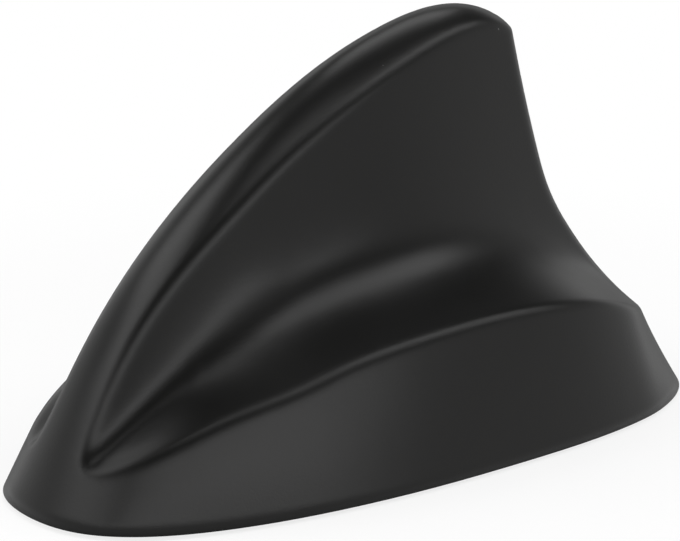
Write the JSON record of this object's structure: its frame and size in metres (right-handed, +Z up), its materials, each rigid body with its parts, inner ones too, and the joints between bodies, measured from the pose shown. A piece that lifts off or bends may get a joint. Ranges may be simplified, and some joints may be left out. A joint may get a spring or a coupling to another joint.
{
  "type": "shark fin aerial",
  "caption": "Vehicle roof aerial: a swept fin cover with a scooped flank on each side, on a sealed cast base that carries a circuit board, aerial elements and coaxial sockets.",
  "frame": {"origin": "on the roof bolt's axis at the roof plane, at the middle of the length and width", "axes": "+X from nose to tail, +Y to the vehicle's right, +Z up from the roof"},
  "size_m": [0.13, 0.061, 0.0699],
  "materials": {
    "cover_plastic": "fine matt grain",
    "seal_rubber": "matt",
    "cast_alloy": "as cast",
    "plated_steel": "zinc plated",
    "inner_plastic": "natural moulded",
    "board_laminate": "solder lacquer",
    "socket_plastic": "moulded",
    "contact_brass": "bright plated",
    "patch_ceramic": "fired matt",
    "silver_film": "fired silver",
    "tinned_sheet": "tinned",
    "coil_copper": "enamelled"
  },
  "bodies": {
    "root": {"cover": "cover_plastic", "roof_seal": "seal_rubber", "cover_seal": "seal_rubber", "base_plate": "cast_alloy", "bolt_insert": "plated_steel", "vent_plug": "inner_plastic", "main_board": "board_laminate", "board_screws": "plated_steel", "cover_screws": "plated_steel", "socket_block": "socket_plastic", "socket_shells": "contact_brass", "socket_pins": "contact_brass", "gnss_patch": "patch_ceramic", "gnss_electrode": "silver_film", "gnss_feed": "contact_brass", "shield_can": "tinned_sheet", "front_blade": "board_laminate", "rear_blade": "board_laminate", "front_clip": "contact_brass", "rear_clip": "contact_brass", "radio_plate": "tinned_sheet", "element_carrier": "inner_plastic", "radio_coil": "coil_copper", "radio_lead": "contact_brass"}
  },
  "joints": []
}
